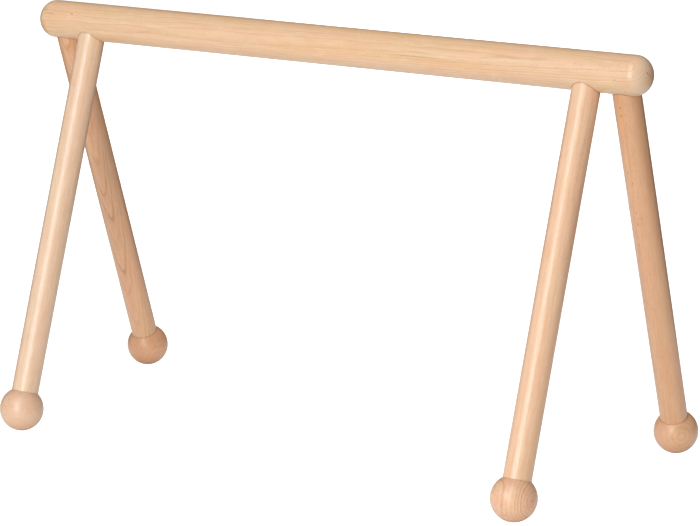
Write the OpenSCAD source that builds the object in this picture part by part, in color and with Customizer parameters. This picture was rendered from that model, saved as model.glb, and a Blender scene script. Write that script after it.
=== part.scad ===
// Wooden activity play gym: one round crossbar on four splayed legs with ball feet.
// Frame: X along the crossbar, -Y the front, +Z up, origin on the floor under
// the middle of the bar. Millimetres.

/* [Crossbar] */
// Diameter of the crossbar
bar_d = 45; // [40:0.5:50]
// Length of the straight, full-diameter part of the crossbar
bar_straight = 770; // [700:1:900]
// How far each rounded end stands out beyond the straight part
bar_dome = 20; // [12:0.5:22]

/* [Legs] */
// Diameter of each leg
leg_d = 32; // [28:0.5:33]
// Distance along a leg from the crossbar's axis to the centre of its ball foot
leg_reach = 470; // [350:1:600]
// Angle of each leg from the vertical, forwards or backwards
leg_splay = 20; // [14:0.5:26]
// Distance of the two front legs from the middle of the bar
front_leg_x = 330; // [250:1:334]
// Distance of the two rear legs from the middle of the bar
rear_leg_x = 372; // [368:1:375]

/* [Ball feet] */
// Diameter of each ball foot
ball_d = 52; // [46:0.5:60]
// Depth of the seat that a leg sinks into its ball
ball_seat = 3; // [1:0.5:5]

/* [Leg sockets] */
// Distance from the crossbar's axis to the flat floor of a leg socket
socket_floor = 12; // [10:0.5:14]
// Radial clearance between a leg and its socket
socket_gap = 0.15; // [0.1:0.05:0.3]
// Gap between the end of a leg and the floor of its socket
seat_gap = 0.3; // [0.2:0.1:0.5]

/* [Hanger bolts and inserts] */
// Diameter of the machine thread of a hanger bolt
bolt_d = 8; // [6:1:8]
// Length of machine thread that stands out of the end of a leg
bolt_out = 13; // [10:0.5:14]
// Length of wood screw thread that is driven into a leg
bolt_in = 38; // [25:1:45]
// Outside diameter of a threaded insert
insert_d = 14; // [13:0.5:15]
// Length of a threaded insert
insert_len = 15; // [12:0.5:16]

/* [Foot dowels] */
// Diameter of a dowel pin
dowel_d = 10; // [8:1:12]
// Length of a dowel pin
dowel_len = 40; // [34:1:44]

/* [Hidden] */

$fn = 96;
beech = "#e3c3a0";
beech_dark = "#d9b78f";
steel = "#b9bcc0";
brass_zinc = "#c8c4ae";

bar_r = bar_d / 2;
leg_r = leg_d / 2;
ball_r = ball_d / 2;
// height of the crossbar's axis when the ball feet stand on the floor
bar_z = leg_reach * cos(leg_splay) + ball_r;
// a leg's two ends, measured along it from the crossbar's axis
leg_top = socket_floor + seat_gap;
ball_face = sqrt(ball_r * ball_r - leg_r * leg_r);
leg_end = leg_reach - ball_face + ball_seat;
pin_gap = 0.05;
bolt_gap = 0.1;
pitch_machine = 1.25;
pitch_wood = 3;
dome_steps = 40;

// the four corners: [x of the leg, +1 rear or -1 front]
FL = [-front_leg_x, -1];
FR = [ front_leg_x, -1];
RL = [-rear_leg_x,   1];
RR = [ rear_leg_x,   1];

// Puts children drawn along -Z from the crossbar's axis onto a corner's leg axis.
module on_leg(c) {
    translate([c[0], 0, bar_z]) rotate([c[1] * leg_splay, 0, 0]) children();
}

// A cylinder from depth a to depth b along a leg, a being nearer the crossbar.
module span(a, b, r) {
    translate([0, 0, -b]) cylinder(h = b - a, r = r);
}

// Cylinder with a small 45 degree chamfer at both ends.
module eased_span(a, b, r, e1, e2) {
    rotate_extrude() polygon([[0, -b], [r - e2, -b], [r, -b + e2], [r, -a - e1], [r - e1, -a], [0, -a]]);
}

// Ringed shank standing for a thread, from depth a to depth b.
module ringed(a, b, r_out, r_in, pitch) {
    n = floor((b - a) / pitch);
    p = (b - a) / n;
    rotate_extrude() polygon(concat(
        [[0, -a]],
        [for (i = [0 : n - 1]) each [[r_in, -a - i * p], [r_out, -a - (i + 0.5) * p]]],
        [[r_in, -b], [0, -b]]));
}

// One straight round rail with full rounded ends, and four leg sockets under it.
module crossbar() {
    h = bar_straight / 2;
    color(beech) difference() {
        translate([0, 0, bar_z]) rotate([0, 90, 0]) rotate_extrude() polygon(concat(
            [[0, -h - bar_dome]],
            [for (i = [1 : dome_steps]) [bar_r * sin(90 * i / dome_steps), -h - bar_dome * cos(90 * i / dome_steps)]],
            [for (i = [dome_steps : -1 : 1]) [bar_r * sin(90 * i / dome_steps), h + bar_dome * cos(90 * i / dome_steps)]],
            [[0, h + bar_dome]]));
        for (c = [FL, FR, RL, RR]) on_leg(c) {
            span(socket_floor, bar_r + 30, leg_r + socket_gap);
            span(socket_floor - insert_len - 2, socket_floor + 1, insert_d / 2 + pin_gap);
        }
    }
}

// Turned leg: screw hole in the top end, dowel hole in the lower end.
module leg(c) {
    color(beech) on_leg(c) difference() {
        eased_span(leg_top, leg_end, leg_r, 0.6, 0.4);
        span(leg_top - 1, leg_top + bolt_in + 1, bolt_d / 2 + pin_gap);
        span(leg_end - dowel_len / 2 - 1, leg_end + 1, dowel_d / 2 + pin_gap);
    }
}

// Ball foot with a shallow seat for the leg and a blind dowel hole.
module foot_ball(c) {
    color(beech_dark) on_leg(c) difference() {
        translate([0, 0, -leg_reach]) sphere(r = ball_r);
        span(leg_reach - ball_r - 5, leg_end, leg_r + pin_gap);
        span(leg_end - 1, leg_end + dowel_len / 2 + 1, dowel_d / 2 + pin_gap);
    }
}

// Double-ended screw: wood thread in the leg, machine thread out of its end.
module hanger_bolt(c) {
    color(steel) on_leg(c) {
        // machine thread, with a chamfered tip
        rotate_extrude() polygon([
            [0, -leg_top + bolt_out], [bolt_d / 2 - 1.2, -leg_top + bolt_out],
            [bolt_d / 2 - 0.5, -leg_top + bolt_out - 1], [bolt_d / 2 - 0.5, -leg_top], [0, -leg_top]]);
        ringed(leg_top - bolt_out + 1, leg_top, bolt_d / 2, bolt_d / 2 - 0.6, pitch_machine);
        // wood thread and its point
        ringed(leg_top, leg_top + bolt_in - 6, bolt_d / 2, bolt_d / 2 - 1.1, pitch_wood);
        rotate_extrude() polygon([
            [0, -leg_top - bolt_in + 6], [bolt_d / 2 - 1.1, -leg_top - bolt_in + 6], [0, -leg_top - bolt_in]]);
    }
}

// Insert nut pressed into the bar below a leg socket.
module threaded_insert(c) {
    color(brass_zinc) on_leg(c) difference() {
        union() {
            ringed(socket_floor - insert_len, socket_floor - 1.5, insert_d / 2, insert_d / 2 - 1, pitch_wood);
            span(socket_floor - 1.5, socket_floor, insert_d / 2);
        }
        span(socket_floor - insert_len - 1, socket_floor + 1, bolt_d / 2 + bolt_gap);
    }
}

// Fluted dowel pin that joins a ball to its leg.
module foot_dowel(c) {
    color(beech_dark) on_leg(c) difference() {
        eased_span(leg_end - dowel_len / 2, leg_end + dowel_len / 2, dowel_d / 2, 1, 1);
        for (i = [0 : 9]) rotate([0, 0, 36 * i]) translate([dowel_d / 2 + 0.3, 0, -leg_end - dowel_len / 2 - 1])
            cylinder(h = dowel_len + 2, r = 0.7, $fn = 24);
    }
}

crossbar();
leg(FL);  // leg_front_left
leg(FR);  // leg_front_right
leg(RL);  // leg_rear_left
leg(RR);  // leg_rear_right
foot_ball(FL);  // foot_ball_front_left
foot_ball(FR);  // foot_ball_front_right
foot_ball(RL);  // foot_ball_rear_left
foot_ball(RR);  // foot_ball_rear_right
hanger_bolt(FL);  // hanger_bolt_front_left
hanger_bolt(FR);  // hanger_bolt_front_right
hanger_bolt(RL);  // hanger_bolt_rear_left
hanger_bolt(RR);  // hanger_bolt_rear_right
threaded_insert(FL);  // threaded_insert_front_left
threaded_insert(FR);  // threaded_insert_front_right
threaded_insert(RL);  // threaded_insert_rear_left
threaded_insert(RR);  // threaded_insert_rear_right
foot_dowel(FL);  // foot_dowel_front_left
foot_dowel(FR);  // foot_dowel_front_right
foot_dowel(RL);  // foot_dowel_rear_left
foot_dowel(RR);  // foot_dowel_rear_right
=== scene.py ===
import bpy, math
import numpy as np
from mathutils import Vector, Matrix
from mathutils.geometry import delaunay_2d_cdt


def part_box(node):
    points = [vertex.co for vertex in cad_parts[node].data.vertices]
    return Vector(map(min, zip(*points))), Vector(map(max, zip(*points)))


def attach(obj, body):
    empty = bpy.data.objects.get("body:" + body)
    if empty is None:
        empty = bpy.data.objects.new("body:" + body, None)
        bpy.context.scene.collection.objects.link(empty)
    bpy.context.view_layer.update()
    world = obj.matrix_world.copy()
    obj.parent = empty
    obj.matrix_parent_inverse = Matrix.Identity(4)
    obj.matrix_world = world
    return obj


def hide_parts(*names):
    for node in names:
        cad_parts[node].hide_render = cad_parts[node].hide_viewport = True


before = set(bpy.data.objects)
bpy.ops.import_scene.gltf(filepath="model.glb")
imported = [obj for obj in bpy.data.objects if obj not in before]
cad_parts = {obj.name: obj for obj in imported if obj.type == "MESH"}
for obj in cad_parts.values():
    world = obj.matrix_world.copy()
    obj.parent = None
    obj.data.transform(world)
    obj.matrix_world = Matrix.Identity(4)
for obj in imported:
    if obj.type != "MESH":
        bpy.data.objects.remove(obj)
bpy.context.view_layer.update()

MM = 0.001
scene = bpy.context.scene

# ---------------------------------------------------------------- dimensions
# The same round numbers as the CAD part, in millimetres. Where a node's box
# gives one of them, it is read from there.
_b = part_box("crossbar")
BAR_R = round((_b[1].z - _b[0].z) * 500, 3)
BAR_Z = round((_b[1].z + _b[0].z) * 500, 4)
BAR_END = round(_b[1].x * 1000, 3)
DOME = 20.0
BAR_H = BAR_END - DOME
_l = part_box("leg_front_right")
LEG_R = round((_l[1].x - _l[0].x) * 500, 3)
XF = round((_l[1].x + _l[0].x) * 500, 3)
_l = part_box("leg_rear_right")
XR = round((_l[1].x + _l[0].x) * 500, 3)
SPLAY = math.radians(20.0)
BALL_R = 26.0
REACH = (BAR_Z - BALL_R) / math.cos(SPLAY)
SOCKET_R = LEG_R + 0.15
SOCKET_FLOOR = 12.0
LEG_TOP = SOCKET_FLOOR + 0.3
SEAT_R = LEG_R + 0.05
LEG_END = REACH - math.sqrt(BALL_R ** 2 - LEG_R ** 2) + 3.0
CORNERS = {"front_left": (-XF, -1), "front_right": (XF, -1),
           "rear_left": (-XR, 1), "rear_right": (XR, 1)}


def leg_frame(corner):
    """Origin on the bar's axis, and the directions e1 (along X), e2, w (down the leg)."""
    x, side = CORNERS[corner]
    a = np.array([x, 0.0, BAR_Z])
    w = np.array([0.0, side * math.sin(SPLAY), -math.cos(SPLAY)])
    e1 = np.array([1.0, 0.0, 0.0])
    return a, e1, np.cross(w, e1), w


# ---------------------------------------------------------------- mesh maker
class Maker:
    """Collects points and faces, with a normal for each corner, in millimetres."""

    def __init__(self):
        self.v, self.f, self.n = [], [], []

    def point(self, p):
        self.v.append(tuple(float(c) for c in p))
        return len(self.v) - 1

    def face(self, idx, normals):
        """A face whose corners are turned, if need be, so that it faces the way its normals do."""
        a, b, c = (np.array(self.v[i]) for i in idx[:3])
        g = np.cross(b - a, c - a)
        if len(idx) == 4:
            d = np.array(self.v[idx[3]])
            g = np.cross(c - a, d - b)
        if float(g @ np.sum(normals, axis=0)) < 0:
            idx, normals = idx[::-1], normals[::-1]
        self.f.append(tuple(idx))
        self.n.extend(tuple(float(c) for c in m) for m in normals)

    def done(self, name):
        me = bpy.data.meshes.new(name)
        me.from_pydata([tuple(c * MM for c in p) for p in self.v], [], self.f)
        me.validate(verbose=False)
        me.polygons.foreach_set("use_smooth", [True] * len(me.polygons))
        me.normals_split_custom_set(self.n)
        me.update()
        ob = bpy.data.objects.new(name, me)
        scene.collection.objects.link(ob)
        return ob


def lathe(mk, a, e1, e2, w, profile, n, start=None):
    """Turns a profile about the axis through a along w. profile is a list of (r, s, (nr, ns) in, (nr, ns) out):
    the corner's radius, its place along w, and the normals of the strips that end and start there."""
    rows = []
    ang = [2 * math.pi * k / n for k in range(n)]
    for i, (r, s, _, _) in enumerate(profile):
        if i == 0 and start is not None:
            rows.append(start)
        elif r < 1e-6:
            rows.append([mk.point(a + s * w)] * n)
        else:
            rows.append([mk.point(a + s * w + r * (math.cos(t) * e1 + math.sin(t) * e2)) for t in ang])
    for i in range(len(profile) - 1):
        n0, n1 = profile[i][3], profile[i + 1][2]
        for k in range(n):
            k1 = (k + 1) % n
            t0, t1 = ang[k], ang[k1]
            d0 = math.cos(t0) * e1 + math.sin(t0) * e2
            d1 = math.cos(t1) * e1 + math.sin(t1) * e2
            quad = [rows[i][k], rows[i][k1], rows[i + 1][k1], rows[i + 1][k]]
            norm = [n0[0] * d0 + n0[1] * w, n0[0] * d1 + n0[1] * w, n1[0] * d1 + n1[1] * w, n1[0] * d0 + n1[1] * w]
            if rows[i][k] == rows[i][k1]:
                quad, norm = [quad[0], quad[2], quad[3]], [norm[0], norm[2], norm[3]]
            elif rows[i + 1][k] == rows[i + 1][k1]:
                quad, norm = quad[:3], norm[:3]
            mk.face(quad, norm)
    return rows


# ---------------------------------------------------------------- crossbar
def bar_radius(x):
    t = (abs(x) - BAR_H) / DOME
    return BAR_R if t <= 0 else BAR_R * math.sqrt(max(0.0, 1 - t * t))


def bar_normal(x, psi):
    """Outward normal of the bar's skin. psi is measured from straight down, towards the back."""
    t = (abs(x) - BAR_H) / DOME
    if t <= 0:
        nx, nr = 0.0, 1.0
    else:
        nx, nr = math.copysign(t / DOME, x), math.sqrt(max(0.0, 1 - t * t)) / BAR_R
        m = math.hypot(nx, nr)
        nx, nr = nx / m, nr / m
    return np.array([nx, nr * math.sin(psi), -nr * math.cos(psi)])


def unroll(x):
    """A flat coordinate along the bar that keeps its spacing over the rounded ends."""
    t = (abs(x) - BAR_H) / DOME
    return x if t <= 0 else math.copysign(BAR_H + DOME * math.asin(min(1.0, t)), x)


def roll(h):
    return h if abs(h) <= BAR_H else math.copysign(BAR_H + DOME * math.sin((abs(h) - BAR_H) / DOME), h)


def make_crossbar():
    mk = Maker()
    cols = 144
    ends = 22
    rows = [BAR_H + DOME * (math.pi / 2) * k / ends for k in range(ends, 0, -1)]
    rows = [-h for h in rows] + [-BAR_H + 5.0 * k for k in range(int(BAR_H * 2 / 5) + 1)] + rows[::-1]
    psi = [-math.pi + 2 * math.pi * j / cols for j in range(cols)]

    def surf(h, p):
        x = roll(h)
        r = bar_radius(x)
        return np.array([x, r * math.sin(p), BAR_Z - r * math.cos(p)])

    grid = {}

    def at(i, j):
        j %= cols
        if i in (0, len(rows) - 1):
            j = 0
        if (i, j) not in grid:
            grid[(i, j)] = mk.point(surf(rows[i], psi[j]))
        return grid[(i, j)]

    # the two patches with leg sockets: rows i0..i1, columns j0..j1
    j0, j1 = cols // 2 - 32, cols // 2 + 32
    patches = []
    for sign in (-1, 1):
        ia = min(i for i, h in enumerate(rows) if sign * h >= XF - 30) if sign > 0 else min(
            i for i, h in enumerate(rows) if -h <= BAR_H + DOME * 0.75)
        ib = max(i for i, h in enumerate(rows) if h <= BAR_H + DOME * 0.75) if sign > 0 else max(
            i for i, h in enumerate(rows) if -h >= XF - 30)
        patches.append((sign, ia, ib))

    def in_patch(i, j):
        return any(ia <= i < ib and j0 <= j < j1 for _, ia, ib in patches)

    for i in range(len(rows) - 1):
        for j in range(cols):
            if in_patch(i, j):
                continue
            corner = [(i, j), (i, j + 1), (i + 1, j + 1), (i + 1, j)]
            idx = [at(*c) for c in corner]
            nor = [bar_normal(roll(rows[c[0]]), psi[c[1] % cols]) for c in corner]
            if i == 0:
                idx, nor = [idx[0], idx[2], idx[3]], [nor[0], nor[2], nor[3]]
            elif i + 1 == len(rows) - 1:
                idx, nor = idx[:3], nor[:3]
            mk.face(idx, nor)

    m = 96
    ease = 0.45
    rims = {}
    for sign, ia, ib in patches:
        pts, ids, holes, edges = [], [], [], []
        # edge of the patch, shared with the grid
        ring = ([(i, j0) for i in range(ia, ib)] + [(ib, j) for j in range(j0, j1)]
                + [(i, j1) for i in range(ib, ia, -1)] + [(ia, j) for j in range(j1, j0, -1)])
        for i, j in ring:
            pts.append((rows[i], BAR_R * psi[j]))
            ids.append(at(i, j))
        edges += [(k, (k + 1) % len(ring)) for k in range(len(ring))]
        legs = [c for c in CORNERS if CORNERS[c][0] * sign > 0]
        for c in legs:
            xc, side = CORNERS[c]
            for li, extra in enumerate((ease, ease + 0.8, ease + 1.8, ease + 3.2)):
                rho = SOCKET_R + extra
                base = len(pts)
                for k in range(m):
                    t = 2 * math.pi * k / m
                    x = xc + rho * math.cos(t)
                    y = rho * math.sin(t)
                    r = bar_radius(x)
                    s = math.sqrt(r * r - y * y)
                    # e2 of the leg frame points the way psi grows, for both sides
                    p = side * SPLAY + math.atan2(y, s) * E2_SIGN
                    pts.append((unroll(x), BAR_R * p))
                    ids.append(mk.point(surf(unroll(x), p)))
                if li == 0:
                    rims[c] = ids[base:base + m]
                    holes.append((xc, side))
                    edges += [(base + k, base + (k + 1) % m) for k in range(m)]
        for i in range(ia + 1, ib):
            for j in range(j0 + 1, j1):
                x = roll(rows[i])
                keep = True
                for xc, side in holes:
                    d = psi[j] - side * SPLAY
                    y = bar_radius(x) * math.sin(d)
                    if math.cos(d) > 0 and math.hypot(x - xc, y) < SOCKET_R + ease + 4.6:
                        keep = False
                if keep:
                    pts.append((rows[i], BAR_R * psi[j]))
                    ids.append(at(i, j))
        out = delaunay_2d_cdt([Vector(p) for p in pts], edges, [], 0, 1e-5)
        vs, fs, orig = out[0], out[2], out[3]
        for f in fs:
            c = sum((vs[k] for k in f), Vector((0, 0))) / len(f)
            x = roll(c.x)
            p = c.y / BAR_R
            inside = False
            for xc, side in holes:
                d = p - side * SPLAY
                y = bar_radius(x) * math.sin(d)
                if math.cos(d) > 0 and math.hypot(x - xc, y) < SOCKET_R + ease - 0.01:
                    inside = True
            if inside:
                continue
            idx = [ids[orig[k][0]] for k in f]
            nor = [bar_normal(roll(vs[k].x), vs[k].y / BAR_R) for k in f]
            mk.face(idx, nor)

    # rounded rim, wall, floor and insert bore of each socket
    for c in CORNERS:
        a, e1, e2, w = leg_frame(c)
        xc, side = CORNERS[c]
        steps = 4
        prev = rims[c]
        prev_n = []
        for k in range(m):
            t = 2 * math.pi * k / m
            x = xc + (SOCKET_R + ease) * math.cos(t)
            co = np.array(mk.v[prev[k]])
            psi_k = math.atan2(co[1], BAR_Z - co[2])
            prev_n.append(bar_normal(x, psi_k))
        top_n = list(prev_n)
        wall_n = [-(math.cos(2 * math.pi * k / m) * e1 + math.sin(2 * math.pi * k / m) * e2) for k in range(m)]
        for q in range(1, steps + 1):
            f = q / steps
            cur, cur_n = [], []
            for k in range(m):
                t = 2 * math.pi * k / m
                out_dir = -wall_n[k]
                rho = SOCKET_R + ease
                y = rho * math.sin(t)
                r = bar_radius(xc + rho * math.cos(t))
                s_top = math.sqrt(r * r - y * y)
                # quarter round from the skin down into the wall
                ang = f * math.pi / 2
                rr = SOCKET_R + ease * (1 - math.sin(ang))
                s_here = math.sqrt(max(0.0, bar_radius(xc + rr * math.cos(t)) ** 2 - (rr * math.sin(t)) ** 2))
                ss = s_here - ease * (1 - math.cos(ang))
                cur.append(mk.point(a + rr * out_dir + ss * w))
                nn = math.cos(ang) * top_n[k] + math.sin(ang) * wall_n[k]
                cur_n.append(nn / np.linalg.norm(nn))
            for k in range(m):
                k1 = (k + 1) % m
                mk.face([prev[k], prev[k1], cur[k1], cur[k]], [prev_n[k], prev_n[k1], cur_n[k1], cur_n[k]])
            prev, prev_n = cur, cur_n
        # wall, in a few bands, down to the floor
        for f in (0.25, 0.5, 0.75, 1.0):
            cur = []
            for k in range(m):
                co = np.array(mk.v[prev[k]]) if f == 0.25 else None
                t = 2 * math.pi * k / m
                if f == 0.25:
                    if k == 0:
                        s_start = []
                    s_start.append(float((co - a) @ w))
                s = s_start[k] + (SOCKET_FLOOR - s_start[k]) * f
                cur.append(mk.point(a - SOCKET_R * wall_n[k] + s * w))
            for k in range(m):
                k1 = (k + 1) % m
                mk.face([prev[k], prev[k1], cur[k1], cur[k]], [wall_n[k], wall_n[k1], wall_n[k1], wall_n[k]])
            prev = cur
        bore = 7.05
        bottom = SOCKET_FLOOR - 17.0
        # floor faces outwards along w, the bore wall faces the axis, the bottom faces out
        prof = [(SOCKET_R, SOCKET_FLOOR, (0, 1), (0, 1)), (bore, SOCKET_FLOOR, (0, 1), (-1, 0)),
                (bore, bottom, (-1, 0), (0, 1)), (0.0, bottom, (0, 1), (0, 1))]
        lathe(mk, a, e1, e2, w, prof, m, start=prev)
    return mk.done("crossbar_skin")


_a, _e1, _e2, _w = leg_frame("front_left")
# +1 if e2 points towards growing psi (backwards at the underside), else -1
E2_SIGN = 1.0 if (_e2[1] > 0) else -1.0


# ---------------------------------------------------------------- legs and balls
def make_leg(corner):
    a, e1, e2, w = leg_frame(corner)
    mk = Maker()
    bore, pin = 4.05, 5.05
    prof = [(0.0, LEG_TOP + 39.0, (0, -1), (0, -1)), (bore, LEG_TOP + 39.0, (0, -1), (-1, 0)),
            (bore, LEG_TOP + 0.3, (-1, 0), (-0.7071, -0.7071)), (bore + 0.3, LEG_TOP, (-0.7071, -0.7071), (0, -1)),
            (LEG_R - 0.6, LEG_TOP, (0, -1), (0, -1))]
    for q in range(1, 5):
        t = q / 4 * math.pi / 2
        prof.append((LEG_R - 0.6 + 0.6 * math.sin(t), LEG_TOP + 0.6 - 0.6 * math.cos(t),
                     (math.sin(t), -math.cos(t)), (math.sin(t), -math.cos(t))))
    n_band = 88
    s0, s1 = LEG_TOP + 0.6, LEG_END - 0.4
    for q in range(1, n_band):
        prof.append((LEG_R, s0 + (s1 - s0) * q / n_band, (1, 0), (1, 0)))
    for q in range(0, 4):
        t = q / 3 * math.pi / 2
        prof.append((LEG_R - 0.4 + 0.4 * math.cos(t), LEG_END - 0.4 + 0.4 * math.sin(t),
                     (math.cos(t), math.sin(t)), (math.cos(t), math.sin(t))))
    prof += [(pin, LEG_END, (0, 1), (-1, 0)), (pin, LEG_END - 21.0, (-1, 0), (0, 1)),
             (0.0, LEG_END - 21.0, (0, 1), (0, 1))]
    lathe(mk, a, e1, e2, w, prof, 96)
    return mk.done(f"leg_{corner}_skin")


def make_ball(corner):
    a, e1, e2, w = leg_frame(corner)
    mk = Maker()
    pin, ease = 5.05, 0.55
    rho = SEAT_R + ease
    prof = [(0.0, LEG_END + 21.0, (0, -1), (0, -1)), (pin, LEG_END + 21.0, (0, -1), (-1, 0)),
            (pin, LEG_END, (-1, 0), (0, -1)), (SEAT_R, LEG_END, (0, -1), (-1, 0))]
    # seat wall, eased rim, then the sphere
    s_rim = REACH - math.sqrt(BALL_R ** 2 - rho ** 2)
    th_rim = math.asin(rho / BALL_R)
    n_top = (math.sin(th_rim), -math.cos(th_rim))
    for q in range(0, 5):
        t = q / 4
        r = SEAT_R + ease * (1 - math.cos(t * math.pi / 2))
        s_sph = REACH - math.sqrt(BALL_R ** 2 - r * r)
        s = s_sph + ease * 0.9 * (1 - math.sin(t * math.pi / 2))
        nn = np.array([-1.0, 0.0]) * math.cos(t * math.pi / 2) + np.array(n_top) * math.sin(t * math.pi / 2)
        nn = tuple(nn / np.linalg.norm(nn))
        prof.append((r, s, nn if q else (-1, 0), nn))
    rings = 56
    for q in range(1, rings + 1):
        th = th_rim + (math.pi - th_rim) * q / rings
        nn = (math.sin(th), -math.cos(th))
        prof.append((BALL_R * math.sin(th) if q < rings else 0.0, REACH - BALL_R * math.cos(th), nn, nn))
    lathe(mk, a, e1, e2, w, prof, 96)
    return mk.done(f"foot_ball_{corner}_skin")


# ---------------------------------------------------------------- material helpers
class Tree:
    def __init__(self, name):
        self.mat = bpy.data.materials.new(name)
        self.mat.use_nodes = True
        self.t = self.mat.node_tree
        for n in list(self.t.nodes):
            self.t.nodes.remove(n)
        self.out = self.t.nodes.new("ShaderNodeOutputMaterial")
        self.bsdf = self.t.nodes.new("ShaderNodeBsdfPrincipled")
        self.t.links.new(self.bsdf.outputs[0], self.out.inputs[0])

    def node(self, kind, **props):
        n = self.t.nodes.new(kind)
        for k, v in props.items():
            setattr(n, k, v)
        return n

    def plug(self, value, socket):
        if isinstance(value, bpy.types.NodeSocket):
            self.t.links.new(value, socket)
        elif value is not None:
            socket.default_value = value

    def math(self, op, a, b=None, c=None, clamp=False):
        n = self.node("ShaderNodeMath", operation=op, use_clamp=clamp)
        for v, s in zip((a, b, c), n.inputs):
            self.plug(v, s)
        return n.outputs[0]

    def vmath(self, op, a, b=None, out=0):
        n = self.node("ShaderNodeVectorMath", operation=op)
        self.plug(a, n.inputs[0])
        if b is not None:
            self.plug(b, n.inputs[1])
        return n.outputs[out]

    def scale(self, vec, xyz):
        return self.vmath("MULTIPLY", vec, xyz)

    def offset(self, vec, xyz):
        return self.vmath("ADD", vec, xyz)

    def split(self, vec):
        n = self.node("ShaderNodeSeparateXYZ")
        self.plug(vec, n.inputs[0])
        return n.outputs[0], n.outputs[1], n.outputs[2]

    def join(self, x, y, z):
        n = self.node("ShaderNodeCombineXYZ")
        for v, s in zip((x, y, z), n.inputs):
            self.plug(v, s)
        return n.outputs[0]

    def noise(self, vec, scale=1.0, detail=2.0, rough=0.5, distort=0.0):
        n = self.node("ShaderNodeTexNoise", noise_dimensions="3D")
        self.plug(vec, n.inputs["Vector"])
        n.inputs["Scale"].default_value = scale
        n.inputs["Detail"].default_value = detail
        n.inputs["Roughness"].default_value = rough
        n.inputs["Distortion"].default_value = distort
        return n.outputs[0]

    def voronoi(self, vec, scale=1.0, feature="F1", rand=1.0):
        n = self.node("ShaderNodeTexVoronoi", voronoi_dimensions="3D", feature=feature)
        self.plug(vec, n.inputs["Vector"])
        n.inputs["Scale"].default_value = scale
        n.inputs["Randomness"].default_value = rand
        return n

    def ramp(self, fac, stops, interp="LINEAR"):
        n = self.node("ShaderNodeValToRGB")
        n.color_ramp.interpolation = interp
        while len(n.color_ramp.elements) > 1:
            n.color_ramp.elements.remove(n.color_ramp.elements[-1])
        for i, (p, c) in enumerate(stops):
            c = (c, c, c, 1.0) if isinstance(c, (int, float)) else tuple(c) + (1.0,)
            e = n.color_ramp.elements[0] if i == 0 else n.color_ramp.elements.new(p)
            e.position = p
            e.color = c
        self.plug(fac, n.inputs[0])
        return n.outputs[0]

    def map(self, v, a, b, c, d, clamp=True, smooth=False):
        n = self.node("ShaderNodeMapRange", clamp=clamp)
        if smooth:
            n.interpolation_type = "SMOOTHSTEP"
        self.plug(v, n.inputs[0])
        for s, x in zip(n.inputs[1:5], (a, b, c, d)):
            self.plug(x, s)
        return n.outputs[0]

    def mix(self, fac, a, b, blend="MIX"):
        n = self.node("ShaderNodeMix", data_type="RGBA", blend_type=blend, clamp_factor=True)
        self.plug(fac, n.inputs[0])
        for v, s in ((a, n.inputs[6]), (b, n.inputs[7])):
            if isinstance(v, tuple) and len(v) == 3:
                v = v + (1.0,)
            self.plug(v, s)
        return n.outputs[2]


def srgb(r, g, b):
    def lin(c):
        c /= 255
        return c / 12.92 if c <= 0.04045 else ((c + 0.055) / 1.055) ** 2.4
    return (lin(r), lin(g), lin(b))


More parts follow.
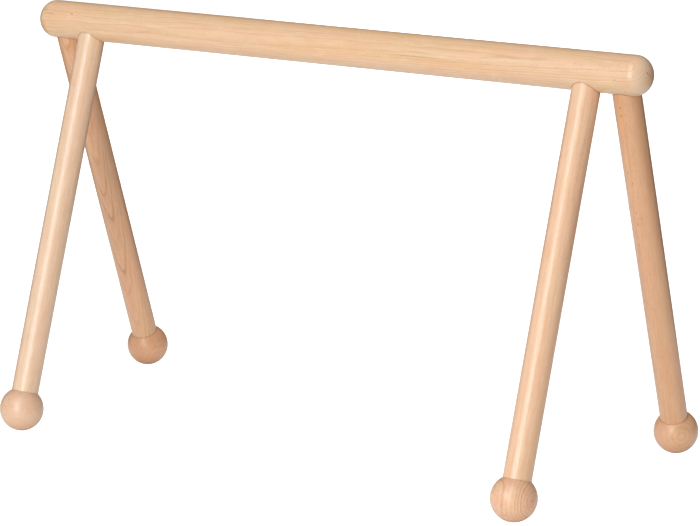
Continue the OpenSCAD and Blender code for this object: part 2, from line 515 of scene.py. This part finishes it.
def wood(name, origin, axes, pith, seed, tint_and_light=(1.0, 1.0, 1.0), lean=(0.0, 0.0), spacing=3.0, warp=3.0, waver=1.7, ring=0.5,
         fleck=0.6, streak=0.5, base=(228, 188, 148), pale_end_and_sheen=0.0, marks_and_shade=(), checks=(), seams=(), rims=(), rub=None,
         raw=False, gloss=0.31, mottle=1.0, lines=1.0):
    """Solid beech. origin and axes (two across the grain, then the grain) give the piece's own frame in mm, and
    everything is laid out in that frame. pith is where the tree's centre lies across it, and lean is how fast
    that centre drifts along the grain. marks are ((u, v, w), (half width, half length), strength, colour index).
    Besides knots, streaks and patches of the wood's own colour, a mark can be a patch of painted shade."""
    t = Tree(name)
    tc = t.node("ShaderNodeTexCoord")
    m = t.node("ShaderNodeMapping", vector_type="TEXTURE")
    R = Matrix([[axes[c][r] for c in range(3)] for r in range(3)])
    m.inputs["Location"].default_value = [c * MM for c in origin]
    m.inputs["Rotation"].default_value = R.to_euler("XYZ")
    m.inputs["Scale"].default_value = (MM, MM, MM)
    t.plug(tc.outputs["Object"], m.inputs["Vector"])
    P = m.outputs[0]
    S = (seed * 37.7, seed * 91.3, seed * 53.1)
    S2, S3 = (S[1], S[2], S[0]), (S[2], S[0], S[1])
    # slow wandering of the rings along the grain, then a finer waver
    bend = t.noise(t.offset(t.scale(P, (0.022, 0.022, 0.0075)), S), 1.0, 2.0, 0.5)
    wob = t.noise(t.offset(t.scale(P, (0.10, 0.10, 0.022)), S2), 1.0, 3.0, 0.6)
    u, v, w = t.split(P)
    du = t.math("SUBTRACT", t.math("SUBTRACT", u, pith[0]), t.math("MULTIPLY", w, lean[0]))
    dv = t.math("SUBTRACT", t.math("SUBTRACT", v, pith[1]), t.math("MULTIPLY", w, lean[1]))
    plain = t.math("SQRT", t.math("ADD", t.math("MULTIPLY", du, du), t.math("MULTIPLY", dv, dv)))
    rad = t.math("ADD", plain, t.math("MULTIPLY", t.math("SUBTRACT", bend, 0.5), warp * 2))
    rad = t.math("ADD", rad, t.math("MULTIPLY", t.math("SUBTRACT", wob, 0.5), waver))
    # year rings of uneven width: a slow rise into a thin, darker late line
    year = t.math("DIVIDE", rad, spacing)
    uneven = t.noise(t.join(t.math("MULTIPLY", year, 0.31), S[1] * 0.1, S[2] * 0.1), 1.0, 1.0)
    year = t.math("ADD", year, t.math("MULTIPLY", uneven, 1.6))
    f = t.math("FRACT", year)
    late = t.ramp(f, [(0.0, 0.45), (0.05, 0.0), (0.40, 0.05), (0.74, 0.30), (0.92, 1.0), (1.0, 0.45)], "EASE")
    strength = t.noise(t.join(t.math("MULTIPLY", t.math("FLOOR", year), 7.31), S[0], S[1]), 1.0, 0.0)
    broken = t.noise(t.offset(t.scale(P, (0.30, 0.30, 0.030)), S3), 1.0, 2.0, 0.6)
    late = t.math("MULTIPLY", late, t.map(strength, 0.3, 0.7, 0.35, 1.2))
    late = t.math("MULTIPLY", late, t.map(broken, 0.32, 0.62, 0.45, 1.1))
    # fibres from coarse to fine, all drawn out along the grain
    fib = t.noise(t.offset(t.scale(P, (1.9, 1.9, 0.045)), S), 1.0, 3.0, 0.62)
    fib2 = t.noise(t.offset(t.scale(P, (0.42, 0.42, 0.012)), S), 1.0, 2.0, 0.55)
    pore = t.noise(t.offset(t.scale(P, (5.2, 5.2, 0.45)), S), 1.0, 2.0, 0.6)
    grit = t.noise(t.offset(t.scale(P, (0.85, 0.85, 0.32)), S2), 1.0, 3.0, 0.7)
    # how much the surface faces along the grain, and how much it faces out from the pith
    nrm = tc.outputs["Normal"]
    n_u = t.vmath("DOT_PRODUCT", nrm, tuple(float(c) for c in axes[0]), out=1)
    n_v = t.vmath("DOT_PRODUCT", nrm, tuple(float(c) for c in axes[1]), out=1)
    n_w = t.vmath("DOT_PRODUCT", nrm, tuple(float(c) for c in axes[2]), out=1)
    end = t.math("POWER", t.math("ABSOLUTE", n_w), 2.0)
    facing = t.math("DIVIDE", t.math("ADD", t.math("MULTIPLY", n_u, du), t.math("MULTIPLY", n_v, dv)),
                    t.math("ADD", plain, 0.01))
    flat = t.map(t.math("ABSOLUTE", facing), 0.30, 0.85, 0.0, 1.0, smooth=True)
    # rays: thin sheets out from the pith. They show as short dark dashes on a flat sawn face, as pale silky
    # flakes on a quarter sawn one, and as fine spokes on end grain.
    ang = t.math("ARCTAN2", dv, du)
    reach = max(math.hypot(*pith), 12.0)
    tang = t.math("MULTIPLY", ang, reach)

    def rays(size, pick_from, lo, hi, shift):
        q = t.join(t.math("DIVIDE", rad, size[0]), t.math("DIVIDE", tang, size[1]), t.math("DIVIDE", w, size[2]))
        vr = t.voronoi(t.offset(q, shift), 1.0)
        pick = t.split(vr.outputs["Color"])[0]
        reach_ = t.map(pick, pick_from, 1.0, lo, hi)
        return t.map(t.math("SUBTRACT", reach_, vr.outputs["Distance"]), -0.03, 0.10, 0.0, 1.0, smooth=True)

    ray = rays((9.0, 1.35, 5.0), 0.20, 0.04, 0.40, S)
    ray_big = rays((12.0, 2.4, 10.5), 0.48, 0.0, 0.24, S2)
    mark = rays((14.0, 9.0, 26.0), 0.72, 0.0, 0.075, S3)
    dash = t.math("MAXIMUM", t.math("MULTIPLY", ray, 0.8), t.math("MULTIPLY", ray_big, 0.75))
    dash = t.math("MULTIPLY", dash, t.math("ADD", 0.25, t.math("MULTIPLY", flat, 0.75)))
    flake = t.math("MULTIPLY", t.math("MULTIPLY", ray, t.math("SUBTRACT", 1.0, flat)), t.math("SUBTRACT", 1.0, end))
    # clouds of pinker and yellower wood, and long stripes of warmer wood
    cloud = t.noise(t.offset(t.scale(P, (0.05, 0.05, 0.010)), S2), 1.0, 2.0, 0.5)
    patch = t.noise(t.offset(t.scale(P, (0.14, 0.14, 0.045)), S3), 1.0, 2.0, 0.55)
    stripe = t.noise(t.offset(t.scale(P, (0.085, 0.085, 0.0045)), S3), 1.0, 1.0, 0.5)

    # the tint scales the wood's colour; for the legs and balls it also holds painted light and shade
    b = np.array(srgb(*base)) * np.array(tint_and_light)

    def shade(r, g, bl):
        return tuple(float(c) for c in np.minimum(b * np.array([r, g, bl]), 1.0))

    pink, yellow = shade(1.035, 0.975, 0.985), shade(0.99, 1.02, 0.975)
    dark, brown, deep = shade(0.76, 0.60, 0.48), shade(0.50, 0.31, 0.21), shade(0.20, 0.10, 0.065)
    warm, lite, rosy = shade(0.99, 0.86, 0.66), shade(1.08, 1.11, 1.16), shade(0.97, 0.88, 0.84)
    col = t.mix(t.map(cloud, 0.35, 0.65, 0.0, 1.0, smooth=True), pink, yellow)
    col = t.mix(t.map(stripe, 0.50, 0.68, 0.0, 0.75 * streak, smooth=True), col, warm)
    col = t.mix(t.map(patch, 0.50, 0.72, 0.0, 0.42 * mottle, smooth=True), col, rosy)
    col = t.mix(t.map(patch, 0.48, 0.28, 0.0, 0.35 * mottle, smooth=True), col, lite)
    col = t.mix(t.map(fib2, 0.38, 0.66, 0.0, 0.36 * lines), col, lite)
    col = t.mix(t.map(fib, 0.45, 0.72, 0.0, 0.30 * lines), col, dark)
    col = t.mix(t.map(grit, 0.50, 0.72, 0.0, 0.20), col, dark)
    col = t.mix(t.math("MULTIPLY", late, t.math("ADD", 0.52 * ring, t.math("MULTIPLY", end, 0.42))), col, dark)
    col = t.mix(t.math("MULTIPLY", t.map(pore, 0.58, 0.80, 0.0, 1.0), 0.22), col, brown)
    col = t.mix(t.math("MULTIPLY", flake, 0.30), col, lite)
    col = t.mix(t.math("MULTIPLY", dash, 0.62 * fleck), col, brown)
    col = t.mix(t.math("MULTIPLY", mark, 0.80 * fleck), col, deep)
    if pale_end_and_sheen:
        # the turned end of the bar past x = 383 mm: paler, greyer and bluer in a ring where it runs out of the side
        # grain. This is partly the end grain's own tone and partly painted sheen of the lacquer.
        end_ring_and_sheen = t.math("MULTIPLY", t.math("MULTIPLY", end, t.math("SUBTRACT", 1.0, end)), 4.0 * pale_end_and_sheen)
        end_ring_and_sheen = t.math("MULTIPLY", end_ring_and_sheen, t.map(w, 378.0, 390.0, 0.0, 1.0, smooth=True))
        col = t.mix(end_ring_and_sheen, col, shade(1.02, 1.17, 1.42))
    # drying checks: thin splits at right angles to across, running along way from their middle
    for at, way, across, long, half, power in checks:
        q = t.offset(P, tuple(-c for c in at))
        far = t.math("DIVIDE", t.vmath("LENGTH", q, out=1), long)
        side = t.vmath("DOT_PRODUCT", q, across, out=1)
        side = t.math("ABSOLUTE", t.math("ADD", side, t.math("MULTIPLY", t.math("SUBTRACT", grit, 0.5), 1.2)))
        width = t.map(far, 1.0, 0.2, half * 0.3, half)
        gap = t.math("MULTIPLY", t.map(t.math("DIVIDE", side, width), 1.0, 0.3, 0.0, 1.0, smooth=True),
                     t.map(far, 1.0, 0.7, 0.0, power))
        col = t.mix(gap, col, deep)
    tones = (deep, brown, warm, lite, shade(0.93, 0.76, 0.68), shade(1.10, 1.00, 0.76))
    # spots of another tone: knots, streaks and patches of the wood's colour, and on the bar one patch of painted shade
    for at, size, power, tone in marks_and_shade:
        q = t.scale(t.offset(P, tuple(-c for c in at)), (1 / size[0], 1 / size[0], 1 / size[1]))
        spot = t.map(t.math("ADD", t.vmath("LENGTH", q, out=1), t.math("MULTIPLY", t.math("SUBTRACT", grit, 0.5), 1.2)),
                     1.15, 0.45, 0.0, power, smooth=True)
        col = t.mix(spot, col, tones[tone])
    # joints: (point on an axis, its direction, radius where the line starts and ends, depth of tone, tone, and
    # whether the line shows only on the side that the axis points to)
    for a0, d0, r0, r1, power, tone, one_side in seams:
        d0 = tuple(float(c) for c in d0)
        from_a = t.offset(t.scale(tc.outputs["Object"], (1000.0, 1000.0, 1000.0)), tuple(-float(c) for c in a0))
        q = t.vmath("CROSS_PRODUCT", from_a, d0)
        line = t.map(t.vmath("LENGTH", q, out=1), r0, r1, power, 0.0, smooth=True)
        if one_side:
            ahead = t.math("GREATER_THAN", t.vmath("DOT_PRODUCT", from_a, d0, out=1), 0.0)
            line = t.math("MULTIPLY", line, ahead)
        col = t.mix(line, col, tones[tone])
    # lines across the piece at a place along it: (place, how far the tone reaches, depth of tone, tone)
    for at, size, power, tone in rims:
        line = t.map(t.math("ABSOLUTE", t.math("SUBTRACT", w, at)), 0.0, size, power, 0.0, smooth=True)
        col = t.mix(line, col, tones[tone])
    rough = t.math("ADD", 0.43, t.math("MULTIPLY", t.math("SUBTRACT", fib, 0.5), 0.20))
    rough = t.math("ADD", rough, t.math("MULTIPLY", t.math("SUBTRACT", cloud, 0.5), 0.12))
    rough = t.math("SUBTRACT", rough, t.math("MULTIPLY", flake, 0.08))
    coat = None
    if raw:
        rough = t.math("ADD", rough, 0.25)
    if rub is not None:
        # the lacquer is rubbed dull and a little grey where the ball stands on the floor
        far = t.vmath("LENGTH", t.offset(t.scale(tc.outputs["Object"], (1000.0, 1000.0, 1000.0)),
                                         tuple(-float(c) for c in rub)), out=1)
        worn = t.map(t.math("ADD", far, t.math("MULTIPLY", t.math("SUBTRACT", grit, 0.5), 5.0)), 5.5, 2.0, 0.0, 1.0,
                     smooth=True)
        col = t.mix(t.math("MULTIPLY", worn, 0.22), col, shade(0.78, 0.76, 0.78))
        rough = t.math("ADD", rough, t.math("MULTIPLY", worn, 0.25))
        coat = t.math("SUBTRACT", 1.0, t.math("MULTIPLY", worn, 0.8))
    t.plug(col, t.bsdf.inputs["Base Color"])
    t.plug(rough, t.bsdf.inputs["Roughness"])
    h = t.math("ADD", t.math("MULTIPLY", fib, 0.5), t.math("MULTIPLY", pore, 0.35))
    h = t.math("SUBTRACT", h, t.math("MULTIPLY", dash, 0.35))
    h = t.math("SUBTRACT", h, t.math("MULTIPLY", late, 0.15))
    bump = t.node("ShaderNodeBump")
    bump.inputs["Strength"].default_value = 0.40
    bump.inputs["Distance"].default_value = 0.00006
    t.plug(h, bump.inputs["Height"])
    t.plug(bump.outputs[0], t.bsdf.inputs["Normal"])
    t.bsdf.inputs["IOR"].default_value = 1.48
    if not raw:
        # the lacquer follows the grain loosely
        film = t.node("ShaderNodeBump")
        film.inputs["Strength"].default_value = 1.0
        film.inputs["Distance"].default_value = 0.00018
        t.plug(t.math("ADD", t.math("MULTIPLY", grit, 0.8), t.math("MULTIPLY", fib, 0.3)), film.inputs["Height"])
        t.plug(film.outputs[0], t.bsdf.inputs["Coat Normal"])
        if coat is None:
            t.bsdf.inputs["Coat Weight"].default_value = 1.0
        else:
            t.plug(coat, t.bsdf.inputs["Coat Weight"])
        t.bsdf.inputs["Coat Roughness"].default_value = gloss
        t.bsdf.inputs["Coat IOR"].default_value = 1.5
    return t.mat


def metal(name, colour, rough=0.28, ring=1.25):
    """Plated steel: a fine grain in its roughness and bump, and a cloudy sheen."""
    t = Tree(name)
    tc = t.node("ShaderNodeTexCoord")
    P = t.scale(tc.outputs["Object"], (1000.0, 1000.0, 1000.0))
    cloud = t.noise(t.scale(P, (0.25, 0.25, 0.25)), 1.0, 3.0)
    fine = t.noise(t.scale(P, (6.0, 6.0, 6.0)), 1.0, 2.0)
    c = np.array(colour)
    col = t.mix(t.map(cloud, 0.3, 0.7, 0.0, 1.0), tuple(c * 0.82), tuple(np.minimum(c * 1.08, 1.0)))
    t.plug(col, t.bsdf.inputs["Base Color"])
    t.bsdf.inputs["Metallic"].default_value = 1.0
    t.plug(t.math("ADD", rough, t.math("MULTIPLY", t.math("SUBTRACT", fine, 0.5), 0.2)), t.bsdf.inputs["Roughness"])
    bump = t.node("ShaderNodeBump")
    bump.inputs["Strength"].default_value = 0.2
    bump.inputs["Distance"].default_value = 0.00003
    t.plug(fine, bump.inputs["Height"])
    t.plug(bump.outputs[0], t.bsdf.inputs["Normal"])
    return t.mat


# ---------------------------------------------------------------- pieces
X, Y, Z = np.eye(3)


def on(radius, degrees, along):
    """A point on a round piece's skin: how far round it, in degrees from the first axis, and how far along it."""
    t = math.radians(degrees)
    return (radius * math.cos(t), radius * math.sin(t), along)


DEEP, BROWN, WARM, LITE, RUDDY, GOLD = 0, 1, 2, 3, 4, 5
bar_marks_and_shade = [
    (on(BAR_R, 151, -349), (0.9, 1.2), 0.85, DEEP), (on(BAR_R, 226, 224), (0.8, 1.1), 0.75, DEEP),
    (on(BAR_R, 188, 371), (0.8, 1.2), 0.7, BROWN), (on(BAR_R, 233, 364), (0.7, 1.0), 0.7, DEEP),
    (on(BAR_R, 225, 381), (0.8, 1.0), 0.7, DEEP),
    (on(BAR_R, 143, -390), (0.8, 6.0), 0.6, BROWN), (on(BAR_R, 155, -381), (0.7, 7.0), 0.5, BROWN),
    (on(BAR_R, 168, -384), (0.6, 8.0), 0.4, BROWN), (on(BAR_R, 177, 130), (0.55, 46.0), 0.42, BROWN),
    (on(BAR_R, 128, -300), (0.5, 30.0), 0.30, BROWN), (on(BAR_R, 196, -120), (0.6, 26.0), 0.28, BROWN),
    (on(BAR_R, 112, 60), (3.0, 120.0), 0.45, WARM), (on(BAR_R, 20, -200), (0.9, 1.3), 0.7, DEEP),
    # the wide brown patch at w = -405 is painted shade that darkens the bar's left rounded end
    (on(BAR_R, 330, 90), (0.8, 5.0), 0.5, BROWN), ((0.0, 0.0, -405.0), (26.0, 24.0), 0.14, BROWN),
]
bar_checks = [((-5.7, 2.6, 404.2), (0.748, -0.637, 0.188), (-0.637, -0.768, -0.067), 7.5, 0.62, 0.65),
              ((-7.5, 5.8, 403.0), (-0.64, -0.77, 0.0), (0.77, -0.64, 0.0), 3.2, 0.45, 0.5)]
bar = make_crossbar()
bar_rims = [(leg_frame(c)[0], leg_frame(c)[3], SOCKET_R + 0.35, SOCKET_R + 1.3, 0.45, LITE, True) for c in CORNERS]
bar_wood = wood("beech_bar", (0, 0, BAR_Z), (Y, Z, X), (-36.0, 9.5), 1.0, tint_and_light=(1.102, 1.163, 1.229),
                lean=(0.004, 0.036), spacing=3.0, warp=3.2, ring=1.15, fleck=0.45, streak=0.6, pale_end_and_sheen=0.45,
                marks_and_shade=bar_marks_and_shade, checks=bar_checks, seams=bar_rims, mottle=1.5, lines=0.7)
bar.data.materials.append(bar_wood)
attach(bar, "crossbar")
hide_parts("crossbar")

LEG_LOOK = {
    "front_left": dict(pith=(34.0, -30.0), seed=2.0, lean=(0.0, 0.012), spacing=2.8, ring=0.6, fleck=0.28,
                       streak=0.3, marks_and_shade=[
                           (on(LEG_R, 142, 190), (0.8, 2.0), 0.6, BROWN), (on(LEG_R, 84, 266), (0.5, 1.6), 0.5, BROWN),
                           (on(LEG_R, 73, 307), (0.5, 1.8), 0.5, BROWN), (on(LEG_R, 300, 150), (0.7, 2.0), 0.6, BROWN)]),
    "front_right": dict(pith=(-44.0, -12.0), seed=3.0, lean=(0.010, 0.0), spacing=3.0, ring=0.6, fleck=0.30,
                        streak=0.5, marks_and_shade=[
                            (on(LEG_R, 138, 105), (0.8, 2.4), 0.75, DEEP), (on(LEG_R, 127, 61), (0.6, 2.0), 0.5, BROWN),
                            (on(LEG_R, 154, 179), (0.8, 3.0), 0.5, BROWN), (on(LEG_R, 134, 97), (0.6, 1.4), 0.6, DEEP)]),
    "rear_left": dict(pith=(-11.6, -43.5), seed=4.0, lean=(0.013, 0.048), spacing=1.9, warp=1.2, ring=1.9,
                      fleck=0.25, streak=0.3, marks_and_shade=[(on(LEG_R, 250, 300), (0.8, 2.5), 0.6, DEEP)]),
    "rear_right": dict(pith=(30.0, -34.0), seed=5.0, lean=(0.0, 0.012), spacing=2.9, ring=0.65, fleck=0.40,
                       streak=0.6, marks_and_shade=[
                           (on(LEG_R, 106, 46), (4.8, 24.0), 0.75, GOLD), (on(LEG_R, 99, 33), (0.9, 1.9), 0.9, BROWN),
                           (on(LEG_R, 100, 43), (1.0, 1.5), 0.9, BROWN), (on(LEG_R, 108, 115), (0.7, 2.6), 0.6, BROWN),
                           (on(LEG_R, 92, 128), (0.6, 3.0), 0.6, BROWN), (on(LEG_R, 96, 166), (0.6, 2.6), 0.65, BROWN),
                           (on(LEG_R, 95, 180), (0.7, 3.2), 0.65, BROWN), (on(LEG_R, 102, 208), (0.6, 2.6), 0.55, BROWN),
                           (on(LEG_R, 355, 207), (0.8, 1.2), 0.9, DEEP)]),
}
# the balls are turned from square stock whose grain lies level, each in its own direction
BALL_LOOK = {
    "front_left": dict(grain=(-0.86, -0.50, 0.10), pith=(2.0, 9.0), seed=6.0, spacing=3.4, ring=0.30, fleck=0.30,
                       warp=1.5),
    "front_right": dict(grain=(0.80, -0.60, 0.02), pith=(13.4, 0.4), seed=7.0, spacing=3.5, ring=1.7, fleck=0.30,
                        warp=2.2, waver=4.4, mottle=1.3, lines=0.7),
    "rear_left": dict(grain=(0.10, 0.99, 0.08), pith=(14.0, 16.0), seed=8.0, spacing=3.8, ring=0.25, fleck=0.30,
                      warp=1.5),
    "rear_right": dict(grain=(0.64, -0.77, 0.0), pith=(0.0, 0.5), seed=9.0, spacing=5.0, ring=0.32, fleck=0.20,
                       warp=1.6, waver=3.0, lines=0.7),
}
BALL_MARKS = {
    "front_left": [((-3.4, -20.6, 15.5), 0.9, 0.6, BROWN), ((-7.4, -23.3, 8.8), 0.9, 0.5, BROWN),
                   ((-6.0, -25.2, 1.5), 0.7, 0.45, BROWN), ((-0.3, -22.0, -13.8), 0.7, 0.4, BROWN)],
    "front_right": [((25.4, -4.8, 2.2), 1.6, 0.75, DEEP), ((24.5, -8.6, -1.5), 7.5, 0.60, RUDDY)],
    "rear_left": [((20.8, -15.6, -0.2), 0.75, 0.5, BROWN), ((21.4, -14.6, 2.0), 0.75, 0.55, BROWN),
                  ((22.4, -12.9, 2.8), 0.8, 0.65, BROWN), ((23.7, -10.4, 2.6), 0.75, 0.5, BROWN),
                  ((24.6, -8.4, 1.2), 0.7, 0.35, BROWN)],
    "rear_right": [((20.0, 14.0, 8.0), 5.0, 0.5, WARM)],
}
# Tints of each piece are partly the wood's own colour and partly painted light. The front legs and balls are paler and
# whiter, which stands in for their sheen and the light they face. The rear ones are darker and redder, which stands in
# for the shade they are in.
LEG_TINT_AND_LIGHT = {
    "front_left": (1.082, 1.189, 1.395), "front_right": (1.124, 1.145, 1.253),
    "rear_left": (1.021, 0.933, 0.898), "rear_right": (0.989, 0.883, 0.836),
}
BALL_TINT_AND_LIGHT = {
    "front_left": (1.04, 1.065, 1.221), "front_right": (1.1, 1.071, 1.178),
    "rear_left": (0.951, 0.797, 0.748), "rear_right": (1.009, 0.925, 0.913),
}
SEAM_TONE = {"front_left": 0.65, "front_right": 0.65, "rear_left": 0.35, "rear_right": 0.35}
for c in CORNERS:
    a, e1, e2, w = leg_frame(c)
    leg = make_leg(c)
    into_bar = [((0.0, 0.0, BAR_Z), X, BAR_R + 0.2, BAR_R + 1.4, 0.45, BROWN, False)]
    leg.data.materials.append(wood(f"beech_leg_{c}", a, (e1, e2, w), tint_and_light=LEG_TINT_AND_LIGHT[c], seams=into_bar,
                                   rims=[(LEG_END - 1.5, 1.6, 0.5, BROWN), (LEG_TOP, 1.5, 0.5, LITE)], mottle=1.35,
                                   lines=1.3, **LEG_LOOK[c]))
    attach(leg, f"{c}_leg")
    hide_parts(f"leg_{c}")
    ball = make_ball(c)
    look = dict(BALL_LOOK[c])
    g = np.array(look.pop("grain"))
    g = g / np.linalg.norm(g)
    g1 = np.cross(Z, g)
    g1 = g1 / np.linalg.norm(g1)
    ax = (g1, np.cross(g, g1), g)
    mid = a + REACH * w
    spots = [((float(np.array(p) @ ax[0]), float(np.array(p) @ ax[1]), float(np.array(p) @ ax[2])), (r, r), k, tone)
             for p, r, k, tone in BALL_MARKS[c]]
    ball.data.materials.append(wood(f"beech_ball_{c}", mid, ax, tint_and_light=BALL_TINT_AND_LIGHT[c], marks_and_shade=spots,
                                    seams=[(mid, -w, SEAT_R + 0.3, SEAT_R + 1.1, SEAM_TONE[c], BROWN, True)],
                                    rub=mid - BALL_R * Z, gloss=0.34, **look))
    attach(ball, f"{c}_leg")
    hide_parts(f"foot_ball_{c}")

steel = metal("zinc_plated_steel", (0.62, 0.64, 0.67))
insert = metal("insert_zinc", (0.62, 0.58, 0.44), rough=0.35)
for c in CORNERS:
    a, e1, e2, w = leg_frame(c)
    for node, mat in ((f"hanger_bolt_{c}", steel), (f"threaded_insert_{c}", insert)):
        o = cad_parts[node]
        o.data.materials.clear()
        o.data.materials.append(mat)
    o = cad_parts[f"foot_dowel_{c}"]
    o.data.materials.clear()
    o.data.materials.append(wood(f"dowel_{c}", a, (e1, e2, w), (15.0, 12.0), 11.0, spacing=2.4, raw=True))

# ---------------------------------------------------------------- floor, light, camera
def sheet_of_floor(name, s, z, shade, glow):
    """One flat sheet, s metres from its middle to its edge. glow lifts it towards the white of a studio sweep."""
    me = bpy.data.meshes.new(name)
    me.from_pydata([(-s, -s, z), (s, -s, z), (s, s, z), (-s, s, z)], [], [(0, 1, 2, 3)])
    ob = bpy.data.objects.new(name, me)
    scene.collection.objects.link(ob)
    ft = Tree(name)
    ft.bsdf.inputs["Base Color"].default_value = (shade, shade, shade, 1.0)
    ft.bsdf.inputs["Roughness"].default_value = 0.9
    ft.bsdf.inputs["Specular IOR Level"].default_value = 0.1
    ft.bsdf.inputs["Emission Color"].default_value = (1.0, 1.0, 1.0, 1.0)
    ft.bsdf.inputs["Emission Strength"].default_value = glow
    ft.mat.cycles.emission_sampling = "NONE"
    me.materials.append(ft.mat)
    return ob


# Both sheets lie just under the ball of a leg that is drawn right out, so that no foot is ever hidden by them. The
# one that is seen is white; the unseen one gives the light that bounces up.
DROP = 0.060 * math.cos(SPLAY) + 0.0002
floor = sheet_of_floor("floor", 12.0, -DROP, 0.50, 1.0)
floor.visible_diffuse = False
floor.visible_glossy = False
floor.visible_shadow = False
bounce = sheet_of_floor("floor_bounce", 1.0, -DROP - 0.0005, 0.86, 0.0)
bounce.visible_camera = False

# An unseen disc under each foot, as wide as the darkest part of the shadow that the foot would have on a floor at its
# own height, so that the foot is shaded as it is when it stands on one. A leg that is drawn out passes through it.
for c in CORNERS:
    a, e1, e2, w = leg_frame(c)
    foot = (a + REACH * w) * MM
    ring_v = [(foot[0] + 0.038 * math.cos(math.pi * k / 24), foot[1] + 0.038 * math.sin(math.pi * k / 24), -0.0005)
              for k in range(48)]
    disc_mesh = bpy.data.meshes.new(f"foot_shade_{c}")
    disc_mesh.from_pydata(ring_v, [], [tuple(range(48))])
    disc = bpy.data.objects.new(f"foot_shade_{c}", disc_mesh)
    scene.collection.objects.link(disc)
    disc_mesh.materials.append(bounce.data.materials[0])
    disc.visible_camera = False
    disc.visible_shadow = False

# a wide white bowl behind everything, so that a low view has no horizon
bm_v, bm_f = [], []
for i in range(13):
    e = math.pi / 2 * i / 12
    for k in range(48):
        t_ = 2 * math.pi * k / 48
        bm_v.append((11.5 * math.cos(e) * math.cos(t_), 11.5 * math.cos(e) * math.sin(t_), 11.5 * math.sin(e) - 0.3))
for i in range(12):
    for k in range(48):
        k1 = (k + 1) % 48
        bm_f.append((i * 48 + k, (i + 1) * 48 + k, (i + 1) * 48 + k1, i * 48 + k1))
bowl_mesh = bpy.data.meshes.new("backdrop")
bowl_mesh.from_pydata(bm_v, [], bm_f)
bowl = bpy.data.objects.new("backdrop", bowl_mesh)
scene.collection.objects.link(bowl)
bowl_look = Tree("backdrop")
bowl_look.bsdf.inputs["Base Color"].default_value = (0.0, 0.0, 0.0, 1.0)
bowl_look.bsdf.inputs["Specular IOR Level"].default_value = 0.0
bowl_look.bsdf.inputs["Emission Color"].default_value = (1.0, 1.0, 1.0, 1.0)
bowl_look.bsdf.inputs["Emission Strength"].default_value = 1.0
bowl_look.mat.cycles.emission_sampling = "NONE"
bowl_mesh.materials.append(bowl_look.mat)
bowl.visible_diffuse = False
bowl.visible_glossy = False
bowl.visible_shadow = False

world = bpy.data.worlds.new("studio")
scene.world = world
world.use_nodes = True
world.node_tree.nodes["Background"].inputs[0].default_value = (1.0, 1.0, 1.0, 1.0)
world.node_tree.nodes["Background"].inputs[1].default_value = 0.375
world.cycles_visibility.glossy = False


def area(name, at, to, size, power, colour=(1, 1, 1)):
    d = bpy.data.lights.new(name, "AREA")
    d.shape = "RECTANGLE"
    d.size, d.size_y = size
    d.energy = power
    d.color = colour
    o = bpy.data.objects.new(name, d)
    scene.collection.objects.link(o)
    at, to = Vector(at), Vector(to)
    o.location = at
    o.rotation_euler = (to - at).to_track_quat("-Z", "Y").to_euler()
    o.visible_camera = False
    o.visible_glossy = not name.startswith(("back", "right"))
    o.visible_diffuse = name != "gloss"
    return o


# The strip called gloss adds sheen only. Strip softboxes, each given by its bearing from the camera's (degrees, positive to the right), its height
# angle and its strength. All stand 3.6 m away and are 0.65 m wide and 1.3 m high.
CAM_AZ = 30.97
LIGHTS = [
    ("key_low_a", -20, 10, 21.0), ("key_low_b", -26, 10, 14.1), ("key_mid_a", -20, 32, 3.1),
    ("key_mid_b", -26, 32, 4.7), ("key_mid_c", -32, 32, 12.4), ("key_high_a", -20, 56, 14.7),
    ("key_high_b", -26, 56, 2.8), ("left_low", -40, 10, 2.3), ("left_mid", -40, 32, 7.2), ("right_low_a", 12, 10, 3.6),
    ("right_low_b", 30, 10, 5.8), ("side_low_a", -85, 10, 4.7), ("side_low_b", -110, 10, 4.8), ("back", 165, 38, 10.0),
    ("back_low", 180, 7, 18.0), ("back_high", 178, 62, 23.5), ("gloss", -38.5, 24, 9.0),
]
for name, da, el, power in LIGHTS:
    t, e = math.radians(CAM_AZ + da), math.radians(el)
    d = Vector((math.sin(t) * math.cos(e), -math.cos(t) * math.cos(e), math.sin(e)))
    at = Vector((0, 0, 0.25)) + d * 3.6
    at.z = max(at.z, 0.7)
    tone = {"right": (1.0, 0.80, 0.62), "gloss": (0.30, 0.85, 1.0)}.get(name[:5], (1.0, 1.0, 1.0))
    area(name, at, (0, 0, 0.25), (0.65, 1.3), power, tone)

# camera
AZ, EL, ROLL, DIST = 0.5405066, 0.2340154, 0.00226, 3.40238
TGT = Vector((0.02751, 0.0, 0.177942 + (BAR_Z - 430.0) * MM))
FPX = 2940.73
back = Vector((math.sin(AZ) * math.cos(EL), -math.cos(AZ) * math.cos(EL), math.sin(EL)))
right = Vector((math.cos(AZ), math.sin(AZ), 0.0))
up = back.cross(right)
r2 = right * math.cos(ROLL) + up * math.sin(ROLL)
u2 = up * math.cos(ROLL) - right * math.sin(ROLL)
cam = bpy.data.cameras.new("camera")
cam.sensor_width = 36.0
cam.sensor_fit = "HORIZONTAL"
cam.lens = FPX / 700.0 * 36.0
cam.clip_start, cam.clip_end = 0.05, 60.0
co = bpy.data.objects.new("camera", cam)
scene.collection.objects.link(co)
M = Matrix((r2, u2, back)).transposed().to_4x4()
M.translation = TGT + back * DIST
co.matrix_world = M
scene.camera = co

scene.view_settings.view_transform = "Standard"
scene.view_settings.look = "None"
